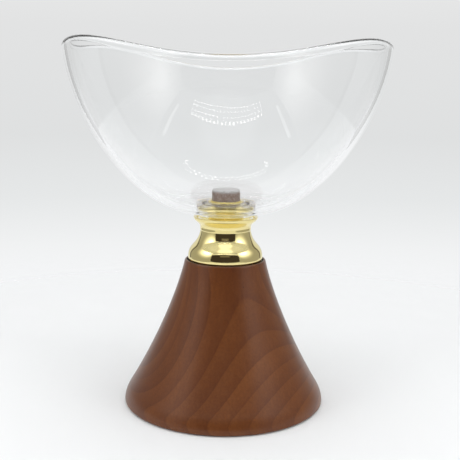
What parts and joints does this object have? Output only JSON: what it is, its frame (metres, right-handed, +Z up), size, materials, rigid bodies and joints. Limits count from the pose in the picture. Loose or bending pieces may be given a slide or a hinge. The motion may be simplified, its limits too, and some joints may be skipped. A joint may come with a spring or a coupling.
{
  "type": "oil lamp",
  "caption": "Table oil lamp: turned wooden cone with a fuel tank inside, polished brass collar, and a clear glass bowl with a saddle-shaped rim round one thick wick.",
  "frame": {"origin": "on the lamp's axis at the table surface, the centre of the bottom of its box", "axes": "+Z up along the lamp's axis; the glass rim dips towards -Y and +Y and rises towards -X and +X"},
  "size_m": [0.1554, 0.1538, 0.1774],
  "materials": {
    "wood": "satin",
    "felt": "matte",
    "plate_paint": "satin",
    "steel": "brushed",
    "foam": "matte",
    "fibre": "matte",
    "brass": "polished",
    "silicone": "satin",
    "glass": "polished",
    "seal_rubber": "satin",
    "wick_fibre": "matte",
    "cotton": "matte"
  },
  "bodies": {
    "base": {"wood_base": "wood", "felt_foot": "felt", "base_plate": "plate_paint", "base_plate_screws": "steel", "tank_body": "steel", "tank_bottom": "steel", "tank_neck": "steel", "tank_pad": "foam", "neck_washer": "steel", "neck_locknut": "steel", "seat_washer": "fibre", "brass_collar": "brass", "glass_gasket": "silicone"},
    "glass": {"glass_bowl": "glass"},
    "burner": {"burner_plug": "brass", "burner_seal": "seal_rubber", "wick_tube": "brass"},
    "wick": {"wick": "wick_fibre", "wick_tie": "steel", "feed_wick": "cotton"}
  },
  "joints": [
    {"name": "glass_lift", "type": "slide", "parent": "base", "child": "glass", "axis": [0, 0, 1], "range_m": [0, 0.12]},
    {"name": "burner_lift", "type": "slide", "parent": "base", "child": "burner", "axis": [0, 0, 1], "range_m": [0, 0.09]},
    {"name": "wick_raise", "type": "slide", "parent": "burner", "child": "wick", "axis": [0, 0, 1], "range_m": [-0.006, 0.006]}
  ]
}
